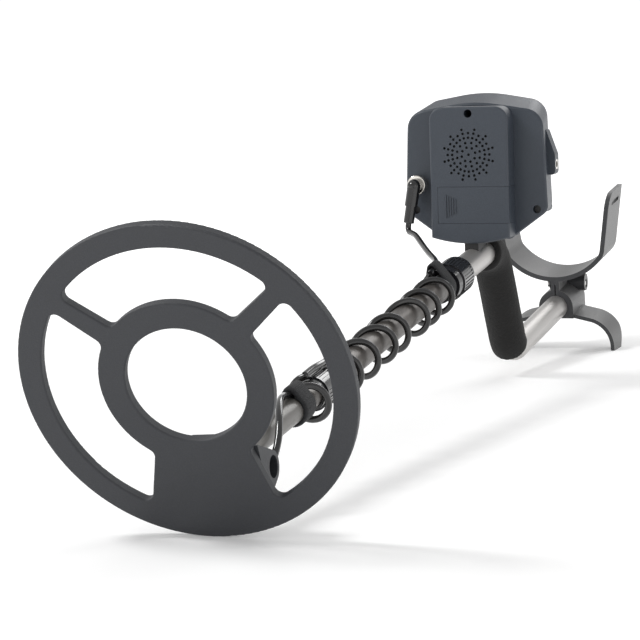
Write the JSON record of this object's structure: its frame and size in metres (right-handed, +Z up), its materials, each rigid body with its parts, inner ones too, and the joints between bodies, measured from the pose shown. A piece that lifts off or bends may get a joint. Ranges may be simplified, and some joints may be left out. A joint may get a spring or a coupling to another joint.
{
  "type": "metal detector",
  "caption": "Hand-held metal detector with a spoked ring search coil, S-shaped pole, cable wound round it, control box, arm cuff and stand.",
  "frame": {"origin": "on the floor under the middle of the object, measured without the cable pieces", "axes": "+Y runs back along the pole from the search coil to the arm cuff, +Z is up, +X is to the user's right"},
  "size_m": [0.2541, 1.2064, 0.2951],
  "materials": {
    "tube_metal": "satin anodised",
    "foam": "closed-cell foam",
    "black_plastic": "matt",
    "steel": "plain",
    "box_plastic": "fine grain",
    "window": "clear",
    "display": "display glass",
    "circuit_board": "lacquered",
    "speaker_cone": "pressed paper and steel",
    "cell_wrap": "plain sleeve",
    "nickel": "bright nickel",
    "cable_rubber": "smooth, shiny",
    "collar_plastic": "shiny",
    "webbing": "ribbed",
    "stem_plastic": "satin",
    "coil_plastic": "fine grain",
    "copper": "enamelled wire in resin",
    "washer_rubber": "matt",
    "button_plastic": "matt",
    "cuff_plastic": "fine grain"
  },
  "bodies": {
    "pole_and_box": {"s_tube": "tube_metal", "foam_grip": "foam", "tube_end_cap": "black_plastic", "upper_collet": "black_plastic", "box_bracket": "black_plastic", "bracket_screws": "steel", "rear_housing": "box_plastic", "front_housing": "box_plastic", "housing_screws": "steel", "display_window": "window", "display_module": "display", "circuit_board": "circuit_board", "button_switches": "black_plastic", "potentiometers": "steel", "speaker": "speaker_cone", "battery_tray": "black_plastic", "batteries": "cell_wrap", "battery_contacts": "steel", "headphone_jack": "nickel", "chassis_socket": "nickel", "cable_plug": "cable_rubber"},
    "upper_collar": {"upper_collar": "collar_plastic"},
    "mid": {"mid_tube": "tube_metal", "lower_collet": "black_plastic", "upper_strap": "webbing", "cable_winding": "cable_rubber", "cable_lead": "cable_rubber"},
    "lower_collar": {"lower_collar": "collar_plastic"},
    "stem": {"lower_stem": "stem_plastic", "stem_end_fitting": "stem_plastic", "lower_strap": "webbing", "coil_cable": "cable_rubber", "cable_link": "cable_rubber", "cable_stem_turns": "cable_rubber"},
    "coil": {"coil_lower_shell": "coil_plastic", "coil_upper_shell": "coil_plastic", "transmit_winding": "copper", "receive_winding": "copper", "coil_gland": "cable_rubber", "hinge_bolt": "black_plastic", "hinge_nut": "black_plastic", "hinge_washers": "washer_rubber"},
    "battery_door": {"battery_door": "box_plastic"},
    "sensitivity_knob": {"sensitivity_knob": "black_plastic"},
    "discrimination_knob": {"discrimination_knob": "black_plastic"},
    "power_button": {"power_button": "button_plastic"},
    "mode_button": {"mode_button": "button_plastic"},
    "target_button": {"target_button": "button_plastic"},
    "plug_ring": {"plug_ring": "nickel"},
    "cuff": {"arm_cuff": "cuff_plastic", "stand_legs": "cuff_plastic", "clamp_bolt": "steel", "clamp_nut": "steel"}
  },
  "joints": [
    {"name": "upper_collar_turn", "type": "hinge", "parent": "pole_and_box", "child": "upper_collar", "pos_m": [0.00402, 0.11439, 0.12305], "axis": [0, -0.9928, -0.1196], "range_deg": [0, 90]},
    {"name": "mid_tube_slide", "type": "slide", "parent": "pole_and_box", "child": "mid", "axis": [0, -0.9928, -0.1196], "range_m": [0, 0.045], "deforming": ["cable_lead"]},
    {"name": "lower_collar_turn", "type": "hinge", "parent": "mid", "child": "lower_collar", "pos_m": [0.00402, -0.27777, 0.0758], "axis": [0, -0.9928, -0.1196], "range_deg": [0, 90]},
    {"name": "stem_slide", "type": "slide", "parent": "mid", "child": "stem", "axis": [0, -0.9928, -0.1196], "range_m": [0, 0.08], "deforming": ["cable_link"]},
    {"name": "coil_tilt", "type": "hinge", "parent": "stem", "child": "coil", "pos_m": [0.00402, -0.50016, 0.04901], "axis": [0.9986, -0.0064, 0.053], "range_deg": [-75, 30], "deforming": ["coil_cable"]},
    {"name": "battery_door_slide", "type": "slide", "parent": "pole_and_box", "child": "battery_door", "axis": [1, 0, 0], "range_m": [0, 0.08]},
    {"name": "sensitivity_turn", "type": "hinge", "parent": "pole_and_box", "child": "sensitivity_knob", "pos_m": [-0.03598, 0.25465, 0.19059], "axis": [0, 1, 0], "range_deg": [-150, 150]},
    {"name": "discrimination_turn", "type": "hinge", "parent": "pole_and_box", "child": "discrimination_knob", "pos_m": [0.04402, 0.25465, 0.19059], "axis": [0, 1, 0], "range_deg": [-150, 150]},
    {"name": "power_button_press", "type": "slide", "parent": "pole_and_box", "child": "power_button", "axis": [0, -1, 0], "range_m": [0, 0.0015], "stiffness_N_per_m": 400},
    {"name": "mode_button_press", "type": "slide", "parent": "pole_and_box", "child": "mode_button", "axis": [0, -1, 0], "range_m": [0, 0.0015], "stiffness_N_per_m": 400},
    {"name": "target_button_press", "type": "slide", "parent": "pole_and_box", "child": "target_button", "axis": [0, -1, 0], "range_m": [0, 0.0015], "stiffness_N_per_m": 400},
    {"name": "plug_ring_turn", "type": "hinge", "parent": "pole_and_box", "child": "plug_ring", "pos_m": [-0.05338, 0.20225, 0.20759], "axis": [0, 1, 0], "continuous": true},
    {"name": "cuff_slide", "type": "slide", "parent": "pole_and_box", "child": "cuff", "axis": [0, 0.9928, 0.1196], "range_m": [-0.12, 0]}
  ]
}
